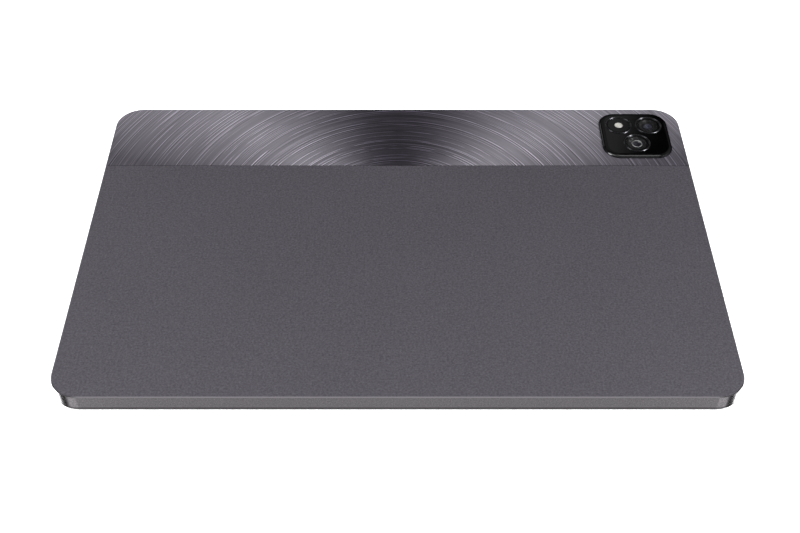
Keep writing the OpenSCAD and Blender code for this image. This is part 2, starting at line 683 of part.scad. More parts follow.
tray_tail = lever_at[0] + 1.9;
tray_head_x = in_x - 1.92;

module card_tray() color([0.36, 0.35, 0.38]) difference() {
    union() {
        slot_x(tray_w, tray_h, tray_head_x, half_w - 0.05, 0, port_z);
        block(tray_tail, tray_head_x + 0.5, -8.6, 7, port_z - 0.5, port_z + 0.5);
    }
    // a seat for each card, with a rim underneath that holds it
    block(tray_tail + 1, tray_tail + 10.2, -7.6, 5, port_z - 0.2, port_z + 1);
    block(tray_tail + 2, tray_tail + 9.2, -6.6, 4, 0, port_z + 1);
    block(tray_tail + 11.2, tray_tail + 22.4, -7.9, 6.3, port_z - 0.2, port_z + 1);
    block(tray_tail + 12.2, tray_tail + 21.4, -6.9, 5.3, 0, port_z + 1);
    translate([tray_head_x - 1, rod_y, port_z]) rotate([0, 90, 0]) cylinder(r = 0.5, h = 9);
}

// A sheet metal cage on the main board, open towards the wall, with the ejector's pivot pin
module card_reader() color([0.75, 0.75, 0.74]) {
    z0 = can_z - 0.5;
    difference() {
        block(reader_x0, reader_x1, -reader_half, reader_half, z0, board_z);
        block(reader_x0 + 0.2, reader_x1 + 1, -reader_half + 0.2, reader_half - 0.2, z0 + 0.15, board_z - 0.15);
        block(reader_x0 + 6, reader_x1 - 5, -5, 3.5, z0 - 1, z0 + 1);
    }
    pin(0.5, lever_at[0], lever_at[1], z0 + 0.1, board_z - 0.1);
    // rails beside and under the rod
    block(reader_x0 + 5, reader_x1 - 3, rod_y + 0.56, reader_half - 0.1, z0 + 0.1, board_z - 0.1);
    block(reader_x0 + 5, reader_x1 - 3, rod_y - 0.6, reader_half - 0.1, z0 + 0.1, port_z - 0.41);
}

// The rod that a pin pushes in through the tray's hole; its round nose rests against the lever
module eject_rod() color([0.75, 0.75, 0.74]) {
    nose_x = lever_at[0] + lever_w / 2 + 0.05 + 0.5;
    block(nose_x, tray_head_x - 0.3, rod_y - 0.5, rod_y + 0.5, port_z - 0.35, port_z + 0.35);
    pin(0.5, nose_x, rod_y, port_z - 0.35, port_z + 0.35);
}

module eject_lever() color([0.75, 0.75, 0.74]) difference() {
    union() {
        block(lever_at[0] - lever_w / 2, lever_at[0] + lever_w / 2, lever_at[1] - lever_arm,
            lever_at[1] + lever_arm, port_z - 0.35, port_z + 0.35);
        pin(0.95, lever_at[0], lever_at[1], port_z - 0.35, port_z + 0.35);
    }
    pin(0.53, lever_at[0], lever_at[1], 0, body_t);
}

// ---- aerials ----

module antennas() color([0.75, 0.55, 0.3])
    for (w = aerial_windows) difference() {
        block(w[0] - 2, w[1] + 2, 55, 78, shelf_z - 1, shelf_z);
        block(w[0] + 4, w[1] - 4, 60, 73, shelf_z - 2, shelf_z - 0.6);
    }

rear_housing();
top_strip();
strip_tape();
screws();
camera_frame();
camera_glass();
flash_ring();
main_ring();
second_ring();
flash_window();
main_lens_window();
second_lens_window();
flash_diffuser();
flash_board();
main_lens_shade();
second_lens_shade();
main_camera_can();
main_lens_barrel();
second_camera_can();
second_lens_barrel();
camera_sensors();
front_glass();
screen_trim();
screen_tape();
optical_adhesive();
lcd_panel();
optical_films();
light_guide();
backlight_tray();
backlight_leds();
display_flex();
front_camera();
light_sensor();
battery_left();
battery_right();
battery_board();
battery_tapes();
main_board();
chips();
thermal_pads();
shield_cans();
connectors();
usb_board();
usb_shell();
usb_tongue();
interconnect_flex();
speaker_upper_right();
speaker_lower_right();
speaker_upper_left();
speaker_lower_left();
speaker_meshes();
microphones();
button_flex();
power_button();
volume_rocker();
card_tray();
card_reader();
eject_rod();
eject_lever();
antennas();
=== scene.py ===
import json
import math

import bmesh
import bpy
from mathutils import Matrix, Vector


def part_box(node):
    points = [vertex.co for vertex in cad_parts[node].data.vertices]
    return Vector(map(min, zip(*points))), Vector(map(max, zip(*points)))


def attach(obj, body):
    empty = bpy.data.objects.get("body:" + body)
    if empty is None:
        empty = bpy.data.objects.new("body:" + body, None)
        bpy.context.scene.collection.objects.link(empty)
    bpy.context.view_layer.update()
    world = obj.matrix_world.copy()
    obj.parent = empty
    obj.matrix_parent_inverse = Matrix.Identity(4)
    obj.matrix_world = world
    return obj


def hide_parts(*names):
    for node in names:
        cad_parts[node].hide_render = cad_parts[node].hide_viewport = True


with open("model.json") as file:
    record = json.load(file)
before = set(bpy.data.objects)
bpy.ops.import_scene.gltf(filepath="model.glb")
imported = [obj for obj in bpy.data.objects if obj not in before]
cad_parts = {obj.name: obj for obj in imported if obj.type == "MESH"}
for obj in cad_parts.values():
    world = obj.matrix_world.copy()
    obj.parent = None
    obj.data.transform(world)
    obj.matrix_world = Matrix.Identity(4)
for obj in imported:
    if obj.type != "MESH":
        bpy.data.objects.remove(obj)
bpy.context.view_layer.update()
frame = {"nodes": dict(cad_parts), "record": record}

MM = 0.001
scene = bpy.context.scene
nodes = frame["nodes"]


def middle(node):
    """The centre of a CAD node's box."""
    low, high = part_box(node)
    return (Vector(low) + Vector(high)) / 2


def top_of(node):
    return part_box(node)[1][2]


# ---------------------------------------------------------------- finishes

class Graph:
    """Short ways to add shader nodes to a node tree."""

    def __init__(self, tree):
        self.tree = tree

    def put(self, socket, value):
        if isinstance(value, bpy.types.NodeSocket):
            self.tree.links.new(value, socket)
        else:
            socket.default_value = value

    def node(self, kind, *values, **settings):
        made = self.tree.nodes.new("ShaderNode" + kind)
        for key, value in settings.items():
            setattr(made, key, value)
        for socket, value in zip(made.inputs, values):
            if value is not None:
                self.put(socket, value)
        return made

    def calc(self, operation, *values):
        return self.node("Math", *values, operation=operation).outputs[0]

    def spread(self, value, low, high, to_low=0.0, to_high=1.0, smooth=False):
        """A number moved from one range to another, and held at its ends."""
        made = self.node("MapRange", value, low, high, to_low, to_high,
                         interpolation_type="SMOOTHSTEP" if smooth else "LINEAR")
        return made.outputs[0]

    def blend(self, factor, first, second):
        """The way from one colour to another."""
        made = self.node("Mix", data_type="RGBA")
        self.put(made.inputs[0], factor)
        for socket, value in ((made.inputs[6], first), (made.inputs[7], second)):
            self.put(socket, (*value, 1.0) if isinstance(value, tuple) else value)
        return made.outputs[2]

    def ramp(self, factor, stops):
        """Colours at a few places between 0 and 1."""
        made = self.node("ValToRGB", factor)
        elements = made.color_ramp.elements
        while len(elements) < len(stops):
            elements.new(0.5)
        for element, (position, colour) in zip(elements, stops):
            element.position = position
            element.color = (*colour, 1.0)
        return made.outputs[0]


class Finish(Graph):
    """A material, with short ways to lay out its surface."""

    def __init__(self, name, colour=(0.5, 0.5, 0.5), roughness=0.5, metallic=0.0, **sockets):
        self.material = bpy.data.materials.new(name)
        self.material.use_nodes = True
        super().__init__(self.material.node_tree)
        self.shader = self.tree.nodes["Principled BSDF"]
        self.shader.inputs["Base Color"].default_value = (*colour, 1.0)
        self.shader.inputs["Roughness"].default_value = roughness
        self.shader.inputs["Metallic"].default_value = metallic
        for socket, value in sockets.items():
            self.shader.inputs[socket.replace("_", " ")].default_value = value

    def place(self):
        return self.node("TexCoord").outputs["Object"]

    def axes(self):
        return self.node("SeparateXYZ", self.place()).outputs

    def around(self, centre):
        """Distance from an upright axis at centre, its part along Y, and the X and Z coordinates."""
        x, y, z = self.axes()
        across = self.calc("SUBTRACT", x, centre[0])
        along = self.calc("SUBTRACT", y, centre[1])
        squares = self.calc("ADD", self.calc("POWER", across, 2.0), self.calc("POWER", along, 2.0))
        return self.calc("SQRT", squares), along, x, z

    def stretched(self, scale):
        """Object coordinates, drawn out along each axis."""
        return self.node("VectorMath", self.place(), scale, operation="MULTIPLY").outputs[0]

    def line_noise(self, value, detail=0.0):
        """Noise along one number."""
        made = self.node("TexNoise", noise_dimensions="1D")
        self.put(made.inputs["W"], value)
        self.put(made.inputs["Scale"], 1.0)
        self.put(made.inputs["Detail"], detail)
        return made.outputs[0]

    def noise(self, scale, detail=2.0, vector=None, roughness=0.5):
        made = self.node("TexNoise", noise_dimensions="3D")
        self.put(made.inputs["Vector"], vector or self.place())
        self.put(made.inputs["Scale"], scale)
        self.put(made.inputs["Detail"], detail)
        self.put(made.inputs["Roughness"], roughness)
        return made.outputs[0]

    def shade(self, colour, brightness):
        """A colour made lighter or darker by a number."""
        made = self.node("Mix", data_type="RGBA", blend_type="MULTIPLY")
        made.inputs[0].default_value = 1.0
        grey = self.node("CombineXYZ", brightness, brightness, brightness).outputs[0]
        self.put(made.inputs[6], (*colour, 1.0) if isinstance(colour, tuple) else colour)
        self.put(made.inputs[7], grey)
        return made.outputs[2]

    def colour(self, value):
        self.put(self.shader.inputs["Base Color"], value)

    def roughness(self, value):
        self.put(self.shader.inputs["Roughness"], value)

    def relief(self, height, distance, strength=1.0):
        made = self.node("Bump")
        self.put(made.inputs["Strength"], strength)
        self.put(made.inputs["Distance"], distance)
        self.put(made.inputs["Height"], height)
        self.put(self.shader.inputs["Normal"], made.outputs[0])


def srgb(*levels):
    """A linear colour from 0 to 255 screen levels."""
    shares = (level / 255 for level in levels)
    return tuple(v / 12.92 if v <= 0.04045 else ((v + 0.055) / 1.055) ** 2.4 for v in shares)


def grained(name, colour, roughness=0.5, metallic=0.0, grain=1500.0, depth=0.02 * MM, tone=0.12, worn=0.1,
            **sockets):
    """A plain surface with a fine grain, broad patches of tone and uneven gloss."""
    made = Finish(name, colour, roughness, metallic, **sockets)
    fine = made.noise(grain, 3.0)
    broad = made.noise(grain / 40, 2.0)
    both = made.calc("MULTIPLY_ADD", fine, 0.5, made.calc("MULTIPLY", broad, 0.5))
    made.colour(made.shade(colour, made.spread(both, 0.3, 0.7, 1 - tone, 1 + tone)))
    made.roughness(made.spread(broad, 0.3, 0.7, roughness - worn, roughness + worn))
    made.relief(fine, depth)
    return made.material


def brushed(name, colour, roughness):
    """Metal with fine straight lines along X."""
    made = Finish(name, colour, roughness, 1.0)
    lines = made.noise(300.0, 3.0, made.stretched((1, 40, 40)))
    made.colour(made.shade(colour, made.spread(lines, 0.3, 0.7, 0.88, 1.12)))
    made.roughness(made.spread(lines, 0.3, 0.7, roughness - 0.06, roughness + 0.08))
    made.relief(lines, 0.004 * MM)
    return made.material


def turned(name, centre, colour, roughness):
    """Metal turned on a lathe about an upright axis: fine circles round centre."""
    made = Finish(name, colour, roughness, 1.0)
    radius, _, _, z = made.around(centre)
    lines = made.noise(9000.0, 2.0, made.node("CombineXYZ", radius, z, 0.0).outputs[0])
    made.colour(made.shade(colour, made.spread(lines, 0.3, 0.7, 0.85, 1.15)))
    made.roughness(made.spread(lines, 0.3, 0.7, roughness - 0.05, roughness + 0.07))
    made.relief(lines, 0.003 * MM)
    return made.material


SPIN_CENTRE = (0.0, 10 * MM)     # the point that the strip's circles run round
WIDEST_SPIN = 72.0               # degrees from the strip's middle to its corners

# painted sheen: the spun strip's painted screen level at each angle from its middle line, in degrees
PAINTED_SPIN_SHEEN = [(0, 23), (8, 29), (12, 35), (16, 43), (20, 53), (24, 62), (28, 71), (32, 81), (36, 89),
              (40, 96), (44, 101), (48, 104), (52, 102), (56, 96), (60, 90), (64, 83), (68, 73), (72, 58)]


def blasted_metal():
    """Anodised aluminium: a fine blasted back, smoother sides with painted shade along their lower edge,
    and a bright cut chamfer.
    """
    made = Finish("blasted_graphite_metal", roughness=0.6, metallic=1.0)
    grain = made.noise(1300.0, 3.0, roughness=0.7)
    speck = made.noise(7000.0, 1.0)
    cloud = made.noise(26.0, 2.0)
    up = made.node("SeparateXYZ", made.node("NewGeometry").outputs["True Normal"]).outputs[2]
    flat = made.spread(up, 0.93, 0.99)
    side = made.spread(up, 0.1, 0.35, 1.0, 0.0)
    tone = made.calc("MULTIPLY_ADD", speck, 0.21, made.calc("MULTIPLY", cloud, 0.04))
    tone = made.calc("MULTIPLY_ADD", grain, 0.75, tone)
    back_colour = made.shade((0.129, 0.1215, 0.1405), made.spread(tone, 0.3, 0.7, 0.6, 1.4))
    side_lines = made.noise(500.0, 2.0, made.stretched((1, 1, 30)))
    side_grain = made.noise(2300.0, 2.0, roughness=0.7)
    side_level = made.calc("MULTIPLY", made.spread(side_lines, 0.3, 0.7, 0.9, 1.1),
                           made.spread(side_grain, 0.3, 0.7, 0.6, 1.4))
    # painted shade: the side's colour darkens below 1.6 mm, where the lower edge turns under, away from the
    # light
    painted_lower_edge_shade = made.spread(made.axes()[2], 1.6 * MM, 1.7 * MM, 0.48, 1.0)
    side_colour = made.shade((0.165, 0.155, 0.165), made.calc("MULTIPLY", side_level, painted_lower_edge_shade))
    cut_edge = made.blend(side, (0.30, 0.285, 0.31), side_colour)
    made.colour(made.blend(flat, cut_edge, back_colour))
    edge_gloss = made.calc("ADD", made.calc("MULTIPLY", side, 0.06), 0.16)
    made.roughness(made.calc("ADD", made.calc("MULTIPLY", flat, 0.42), edge_gloss))
    made.relief(made.calc("MULTIPLY", flat, grain), 0.03 * MM, 0.5)
    return made.material


def spun_strip():
    """The strip's pattern: fine circles about a point below it, under a painted sheen that is brightest
    about 48 degrees to each side.
    """
    made = Finish("spun_strip", roughness=0.42, metallic=0.35)
    radius, along, x, _ = made.around(SPIN_CENTRE)
    turn = made.calc("ARCTAN2", x, along)
    share = made.calc("DIVIDE", made.calc("ABSOLUTE", turn), math.radians(WIDEST_SPIN))
    # painted sheen: the strip's own purplish grey, made lighter and darker by angle about its centre
    painted_sheen = made.ramp(share, [(a / WIDEST_SPIN, srgb(v, v - 3, v + 4)) for a, v in PAINTED_SPIN_SHEEN])

    def circles(pitch, seed, low, high):
        """Circles of varied tone, pitch to the metre, between two levels."""
        rings = made.line_noise(made.calc("MULTIPLY_ADD", radius, pitch, seed), 1.0)
        return made.spread(rings, 0.3, 0.7, low, high)

    def patches(pitch, per_turn, least, most):
        """Where a set of circles shows: lengths of arc that come and go."""
        wound = made.node("CombineXYZ", made.calc("MULTIPLY", radius, pitch),
                          made.calc("MULTIPLY", turn, per_turn), pitch / 10)
        return made.spread(made.noise(1.0, 1.0, wound.outputs[0]), least, most, smooth=True)

    def cuts(pitch, least, most, seed, shown):
        """Bright cut lines: each cut a painted glint, with a painted shade line just beyond it."""
        starts = (made.calc("MULTIPLY_ADD", radius, pitch, start) for start in (seed, seed + 0.45))
        # painted glint along each cut, and painted shade just beyond it
        bright, dark = (made.spread(made.line_noise(start), least, most, smooth=True) for start in starts)
        return made.calc("MULTIPLY", made.calc("SUBTRACT", bright, made.calc("MULTIPLY", dark, 0.4)), shown)

    fine = circles(2100.0, 7.3, -0.3, 0.3)
    lines = circles(980.0, 3.1, -0.3, 0.3)
    broad = circles(140.0, 9.7, -0.05, 0.05)
    level = made.calc("ADD", made.calc("MULTIPLY", fine, patches(300.0, 3.0, 0.25, 0.6)),
                     made.calc("MULTIPLY", lines, patches(110.0, 2.2, 0.2, 0.7)))
    coarse_cuts = cuts(1080.0, 0.66, 0.76, 1.7, patches(170.0, 3.2, 0.42, 0.56))
    close_cuts = cuts(1600.0, 0.64, 0.76, 5.9, patches(230.0, 4.0, 0.38, 0.52))
    scored = made.calc("ADD", made.calc("MULTIPLY", coarse_cuts, 1.35),
                       made.calc("MULTIPLY", close_cuts, 1.4))
    # the lines stand out most where the painted sheen leaves the strip dark
    contrast = made.spread(share, 0.05, 0.36, 2.4, 1.0)
    marks = made.calc("MULTIPLY", made.calc("ADD", made.calc("ADD", level, broad), scored), contrast)
    made.colour(made.shade(painted_sheen, made.calc("MAXIMUM", made.calc("ADD", marks, 1.0), 0.3)))
    made.roughness(made.calc("ADD", made.calc("MULTIPLY", lines, 0.3), 0.42))
    made.relief(made.calc("ADD", lines, scored), 0.003 * MM, 0.3)
    return made.material


def cover_glass(picture, camera):
    """Black glass: an inked border, a slightly lighter picture area, a dark bluish spot over the front
    camera.
    """
    made = Finish("cover_glass", roughness=0.04, IOR=1.5)
    x, y, _ = made.axes()
    inside_x = made.spread(made.calc("ABSOLUTE", x), picture[0], picture[0] - 0.15 * MM)
    inside_y = made.spread(made.calc("ABSOLUTE", y), picture[1], picture[1] - 0.15 * MM)
    lit = made.calc("MULTIPLY", inside_x, inside_y)
    cells = made.noise(9000.0, 0.0)
    picture_colour = made.shade((0.010, 0.011, 0.014), made.spread(cells, 0.3, 0.7, 0.85, 1.15))
    ink = made.shade((0.003, 0.003, 0.0035), made.spread(made.noise(40.0), 0.3, 0.7, 0.9, 1.1))
    reach = made.node("VectorMath", made.place(), camera, operation="DISTANCE").outputs["Value"]
    spot = made.spread(reach, 1.3 * MM, 1.15 * MM)
    made.colour(made.blend(spot, made.blend(lit, ink, picture_colour), (0.012, 0.014, 0.03)))
    made.roughness(made.spread(made.noise(60.0, 3.0), 0.3, 0.7, 0.03, 0.06))
    return made.material


def clear_glass(name):
    """Clear glass that lets the lamps light what stands behind it."""
    made = Finish(name, (1.0, 1.0, 1.0), 0.0, IOR=1.46, Transmission_Weight=1.0)
    made.roughness(made.spread(made.noise(300.0), 0.3, 0.7, 0.0, 0.02))
    shadow = made.node("LightPath").outputs["Is Shadow Ray"]
    passed = made.node("BsdfTransparent", (1.0, 1.0, 1.0, 1.0))
    both = made.node("MixShader", shadow, made.shader.outputs[0], passed.outputs[0])
    made.put(made.tree.nodes["Material Output"].inputs[0], both.outputs[0])
    return made.material


def island_gloss():
    """The island's black glass."""
    black = (0.0005, 0.0005, 0.0006)
    made = Finish("island_black_glass", black, 0.05, IOR=1.5)
    haze = made.noise(120.0, 3.0)
    made.colour(made.shade(black, made.spread(haze, 0.3, 0.7, 0.8, 1.2)))
    made.roughness(made.spread(haze, 0.3, 0.7, 0.03, 0.07))
    return made.material


def coated_lens(name, centre, rim, painted_coating_reflection):
    """A lens with a painted reflection of its coating: faint rings painted into its colour."""
    made = Finish(name, (0.01, 0.012, 0.016), 0.03, IOR=1.6)
    reach = made.node("VectorMath", made.place(), tuple(centre), operation="DISTANCE").outputs["Value"]
    share = made.calc("DIVIDE", reach, rim)
    # painted reflection: a dark middle, then a faint ring of the coating's reflection fading outwards
    rings = made.ramp(share, [(0.0, (0.001, 0.001, 0.002)), (0.2, (0.002, 0.002, 0.004)), (0.3, painted_coating_reflection),
                              (0.62, tuple(c * 0.55 for c in painted_coating_reflection)), (0.9, (0.004, 0.004, 0.006))])
    made.colour(made.shade(rings, made.spread(made.noise(900.0), 0.3, 0.7, 0.85, 1.15)))
    made.roughness(made.spread(made.noise(500.0), 0.3, 0.7, 0.02, 0.05))
    return made.material


def circuit_board(name, colour):
    """Solder mask over copper tracks, with scattered pads."""
    made = Finish(name, colour, 0.35)
    tracks = made.node("TexBrick", made.place(), None, None, None, 900.0)
    tracks.inputs["Mortar Size"].default_value = 0.06
    tracks.inputs["Brick Width"].default_value = 2.2
    tracks.inputs["Row Height"].default_value = 0.5
    lines = made.spread(tracks.outputs["Fac"], 0.2, 0.8)
    pads = made.node("TexVoronoi", made.place(), feature="F1")
    pads.inputs["Scale"].default_value = 420.0
    dots = made.spread(pads.outputs["Distance"], 0.16, 0.12)
    tracked = made.blend(lines, colour, tuple(min(1.0, c * 1.9 + 0.01) for c in colour))
    made.colour(made.blend(dots, tracked, (0.62, 0.46, 0.2)))
    made.roughness(made.spread(made.noise(800.0), 0.3, 0.7, 0.28, 0.42))
    made.relief(made.calc("ADD", lines, dots), 0.015 * MM)
    return made.material


def flat_cable(name):
    """Amber film with copper lines along X."""
    made = Finish(name, (0.42, 0.2, 0.05), 0.3)
    lines = made.node("TexWave", made.place(), wave_type="BANDS", bands_direction="Y")
    lines.inputs["Scale"].default_value = 620.0
    stripe = made.spread(lines.outputs["Fac"], 0.35, 0.65)
    made.colour(made.blend(stripe, (0.30, 0.13, 0.03), (0.52, 0.27, 0.07)))
    made.roughness(made.spread(made.noise(700.0), 0.3, 0.7, 0.24, 0.4))
    made.relief(stripe, 0.01 * MM)
    return made.material


def woven_mesh(name):
    """Fine steel mesh: wires crossing, with painted shade in the openings between them."""
    made = Finish(name, (0.1, 0.1, 0.1), 0.4, 0.8)
    one = made.node("TexWave", made.place(), wave_type="BANDS", bands_direction="Y")
    two = made.node("TexWave", made.place(), wave_type="BANDS", bands_direction="Z")
    for wires in (one, two):
        wires.inputs["Scale"].default_value = 1400.0
    wire = made.calc("MAXIMUM", one.outputs["Fac"], two.outputs["Fac"])
    # painted shade: the openings between the wires are near black
    made.colour(made.blend(made.spread(wire, 0.5, 0.85), (0.005, 0.005, 0.005), (0.16, 0.16, 0.165)))
    made.roughness(made.spread(wire, 0.4, 0.9, 0.6, 0.3))
    made.relief(wire, 0.03 * MM)
    return made.material


def frosted_flash():
    """The flash's plug: warm white, with moulded ridges that spread the light, painted shade and light
    along the ridges, and a near-black outer edge.
    """
    made = Finish("frosted_flash", (0.42, 0.41, 0.38), 0.35)
    radius, _, _, _ = made.around(middle("flash_diffuser"))
    ridges = made.calc("SINE", made.calc("MULTIPLY", radius, 2 * math.pi / (0.22 * MM)))
    warm = made.spread(radius, 0.0, 1.2 * MM, 1.0, 0.0)
    mottle = made.noise(1500.0, 2.0)
    tinted = made.blend(warm, (0.26, 0.256, 0.238), (0.335, 0.322, 0.283))
    tinted = made.shade(tinted, made.spread(mottle, 0.3, 0.7, 0.85, 1.1))
    # painted shade in the ridges' grooves and painted light on their crests, matching the bumps
    tinted = made.shade(tinted, made.spread(ridges, -1.0, 1.0, 0.92, 1.05))
    # the plug's outer edge, from 1.79 mm out, is painted near black
    near_black_rim = made.spread(radius, 1.79 * MM, 1.83 * MM)
    made.colour(made.blend(near_black_rim, tinted, (0.006, 0.006, 0.006)))
    made.roughness(made.spread(made.noise(900.0), 0.3, 0.7, 0.28, 0.42))
    made.relief(ridges, 0.02 * MM)
    return made.material


BORDER = 1.5 * MM       # ink past the picture area, inside the adhesive's edge
picture_low, picture_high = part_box("optical_adhesive")
PICTURE = tuple((picture_high[axis] - picture_low[axis]) / 2 - BORDER for axis in (0, 1))
FRONT_CAMERA = tuple(middle("front_camera") * Vector((1, 1, 0)))

FINISHES = {
    "graphite_metal": blasted_metal(),
    "spun_strip": spun_strip(),
    "black_metal": grained("black_polished_metal", (0.045, 0.045, 0.046), 0.13, 1.0, 3000.0, 0.002 * MM,
                           worn=0.03, Specular_Tint=(0.2, 0.2, 0.2, 1.0)),
    "island_glass": island_gloss(),
    "lens_glass": clear_glass("lens_window_glass"),
    "flash_white": frosted_flash(),
    "lens_black": grained("lens_black", (0.0015, 0.0015, 0.0018), 0.5, grain=4000.0,
                          Specular_IOR_Level=0.12),
    "barrel_plastic": grained("barrel_black", (0.002, 0.002, 0.0025), 0.4, grain=4000.0,
                              Specular_IOR_Level=0.2),
    "camera_can": brushed("camera_can_metal", (0.25, 0.25, 0.26), 0.35),
    "flex_amber": flat_cable("amber_flat_cable"),
    "screen_glass": cover_glass(PICTURE, FRONT_CAMERA),
    "black_trim": grained("black_trim", (0.02, 0.02, 0.021), 0.4, grain=3000.0),
    "black_tape": grained("black_foam_tape", (0.015, 0.015, 0.015), 0.8, grain=1200.0, depth=0.04 * MM),
    "clear_adhesive": grained("clear_adhesive", (0.7, 0.72, 0.74), 0.15, grain=300.0,
                              Transmission_Weight=0.6),
    "panel_glass": grained("panel_glass", (0.03, 0.034, 0.04), 0.12, grain=4000.0, tone=0.2),
    "white_film": grained("white_film", (0.86, 0.86, 0.85), 0.5, grain=900.0, tone=0.05),
    "clear_acrylic": grained("clear_acrylic", (0.82, 0.87, 0.9), 0.1, grain=2200.0,
                             Transmission_Weight=0.6),
    "tray_aluminium": brushed("tray_aluminium", (0.66, 0.67, 0.68), 0.34),
    "led_strip": grained("led_strip", (0.85, 0.78, 0.45), 0.35, grain=1500.0),
    "cell_foil": grained("cell_foil", (0.045, 0.048, 0.055), 0.38, 0.4, 500.0, 0.03 * MM),
    "green_board": circuit_board("green_circuit_board", (0.008, 0.06, 0.035)),
    "chip_black": grained("chip_black", (0.016, 0.016, 0.018), 0.55, grain=1800.0),
    "thermal_blue": grained("thermal_pad_blue", (0.2, 0.3, 0.5), 0.8, grain=700.0),
    "pull_tape": grained("pull_tape", (0.72, 0.72, 0.68), 0.6, grain=600.0),
    "steel": brushed("drawn_steel", (0.56, 0.56, 0.55), 0.28),
    "socket_black": grained("black_plastic", (0.012, 0.012, 0.013), 0.5, grain=2500.0),
    "speaker_plastic": grained("speaker_black", (0.02, 0.02, 0.022), 0.6, grain=1500.0),
    "mesh_steel": woven_mesh("speaker_mesh"),
    "mic_gold": brushed("microphone_can", (0.62, 0.5, 0.25), 0.3),
    "antenna_copper": flat_cable("aerial_film"),
}
RING_NODES = ("flash_ring", "main_ring", "second_ring")
RING_COLOUR = (0.024, 0.024, 0.026)
RING_FINISHES = {node: turned(node + "_metal", middle(node), RING_COLOUR, 0.27) for node in RING_NODES}

for part in frame["record"]["subparts"]:
    shell = nodes[part["node"]]
    chosen = RING_FINISHES.get(part["node"]) or FINISHES[part["material_slot"]]
    for index in range(len(shell.material_slots)):
        shell.material_slots[index].material = chosen


# ---------------------------------------------------------------- pieces made here

def object_from(mesh, name, finish):
    """Turns a bmesh into an object in the scene."""
    data = bpy.data.meshes.new(name)
    mesh.to_mesh(data)
    mesh.free()
    data.materials.append(finish)
    made = bpy.data.objects.new(name, data)
    scene.collection.objects.link(made)
    return made


def piece_from(mesh, name, finish, body, slot, *replaced, crease=40.0):
    """Turns a bmesh into a smooth piece that rides on a body."""
    bmesh.ops.recalc_face_normals(mesh, faces=mesh.faces)
    piece = object_from(mesh, name, finish)
    piece.data.shade_smooth()
    piece.data.set_sharp_from_angle(angle=math.radians(crease))
    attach(piece, body)
    if replaced:
        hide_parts(*replaced)


def arc(centre, radius, start, end, steps):
    """Points on an arc, in degrees from the first axis."""
    turns = (math.radians(start + (end - start) * n / steps) for n in range(steps + 1))
    return [(centre[0] + radius * math.cos(t), centre[1] + radius * math.sin(t)) for t in turns]


def spun(profile, centre, steps):
    """A closed profile of (radius, height) in millimetres, turned about an upright axis at centre."""
    mesh = bmesh.new()
    corners = [mesh.verts.new((r * MM, 0.0, z * MM)) for r, z in profile]
    edges = [mesh.edges.new(pair) for pair in zip(corners, corners[1:])]
    if profile[0][0] > 0 or profile[-1][0] > 0:
        edges.append(mesh.edges.new((corners[-1], corners[0])))
    bmesh.ops.spin(mesh, geom=corners + edges, cent=(0, 0, 0), axis=(0, 0, 1), angle=2 * math.pi,
                   steps=steps, use_merge=True)
    bmesh.ops.remove_doubles(mesh, verts=mesh.verts, dist=1e-7)
    bmesh.ops.translate(mesh, verts=mesh.verts, vec=(centre[0], centre[1], 0.0))
    return mesh


# sharp edges rounded a little, by these widths in millimetres
SOFT_EDGES = {"top_strip": 0.12, "power_button": 0.15, "volume_rocker": 0.15, "card_tray": 0.06}
for node, width in SOFT_EDGES.items():
    bevel = nodes[node].modifiers.new("edge_rounding", "BEVEL")
    bevel.width = width * MM
    bevel.segments = 2
    bevel.limit_method = "ANGLE"
    bevel.angle_limit = math.radians(60.0)
    bevel.use_clamp_overlap = True


# ---------------------------------------------------------------- the camera island, in millimetres

def radius_of(node):
    low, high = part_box(node)
    return (high[0] - low[0]) / 2 / MM


ISLAND_FACE = top_of("camera_glass") / MM
WINDOW_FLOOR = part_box("main_lens_window")[0][2] / MM
BARREL_TOP = top_of("main_lens_barrel") / MM
RING_R = radius_of("main_ring")
WINDOW_R = radius_of("main_lens_window")

# the ring's domed bezel: how far in from the ring's radius, and how far above the island's face
BEZEL = [(0.03, 0.001), (0.0, 0.03), (0.0, 0.045), (0.02, 0.08), (0.27, 0.297), (0.32, 0.317),
         (0.37, 0.317), (0.42, 0.297), (0.69, 0.063), (0.74, 0.045)]
# the flash's ridges: how far in from each one's foot, and how far above the window's floor
RIDGE = [(0.0, 0.455), (0.06, 0.49), (0.12, 0.505), (0.19, 0.49)]
RIDGE_PITCH = 0.26


def lens_ring(node):
    """A ring turned from bar: a sleeve through the island, a domed bezel and a cone down to the window."""
    face, seat = ISLAND_FACE, WINDOW_FLOOR
    bore, sleeve = WINDOW_R - 0.27, RING_R - 0.65
    profile = [(bore, face - 0.93), (sleeve, face - 0.93), (sleeve, face + 0.001)]
    profile += [(RING_R - inset, face + height) for inset, height in BEZEL]
    profile += [(WINDOW_R + 0.08, face + 0.045), (WINDOW_R + 0.03, face + 0.01),
                (WINDOW_R + 0.03, seat + 0.02), (WINDOW_R + 0.01, seat), (bore, seat)]
    piece_from(spun(profile, middle(node), 128), node + "_turned", RING_FINISHES[node],
               "tablet", "ring_metal", node, crease=15.0)


def lens_front(lens, node, body, rim, rise, painted_coating_reflection):
    """The domed and coated front element of a lens, on top of its barrel."""
    centre = middle(node)
    centre.z = BARREL_TOP * MM
    finish = coated_lens(lens + "_coating_painted_reflection", centre, rim * MM, painted_coating_reflection)
    foot = BARREL_TOP + 0.01
    bulge = (rim ** 2 + rise ** 2) / (2 * rise)
    reach = math.degrees(math.asin(rim / bulge))
    crown = arc((0.0, foot + 0.06 + rise - bulge), bulge, 90 - reach, 90, 14)
    crown[-1] = (0.0, foot + 0.06 + rise)
    profile = [(0.0, foot), (rim - 0.05, foot), (rim, foot + 0.05)] + crown
    piece_from(spun(profile, centre, 64), lens + "_front", finish, body, "lens_glass")


